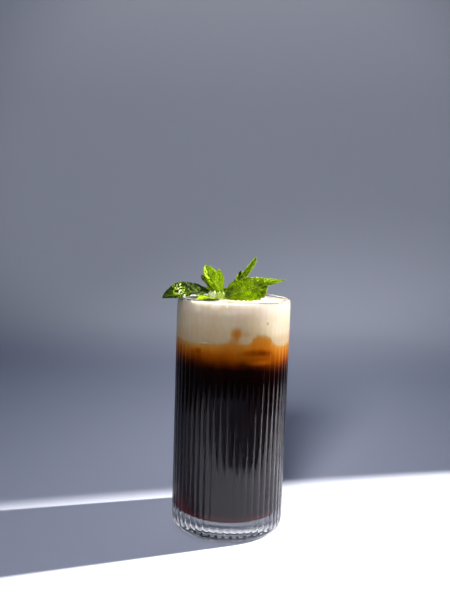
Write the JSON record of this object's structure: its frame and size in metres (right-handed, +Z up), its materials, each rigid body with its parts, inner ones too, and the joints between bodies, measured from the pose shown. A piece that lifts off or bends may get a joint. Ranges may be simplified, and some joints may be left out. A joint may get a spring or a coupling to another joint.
{
  "type": "iced coffee cocktail in a glass",
  "caption": "Iced coffee with a cream top and a sprig of mint, in a tall straight glass with vertical ribs.",
  "frame": {"origin": "centre of the flat underside of the glass, on the glass's axis", "axes": "+Z up along the glass's axis; -Y is the side seen first, with the large mint leaf to its right (+X)"},
  "size_m": [0.074, 0.0668, 0.1599],
  "materials": {
    "clear_glass": "clear pressed soda-lime glass, fire-polished",
    "coffee_dark": "black coffee, wet and glossy",
    "coffee_amber": "coffee mixed with cream, wet and cloudy",
    "cream_pale": "lightly whipped cream, soft satin",
    "mint_green": "fresh mint leaf, puckered between its veins, soft sheen"
  },
  "bodies": {
    "root": {"glass": "clear_glass", "coffee": "coffee_dark", "amber_blend": "coffee_amber", "cream": "cream_pale", "mint_sprig": "mint_green"}
  },
  "joints": []
}
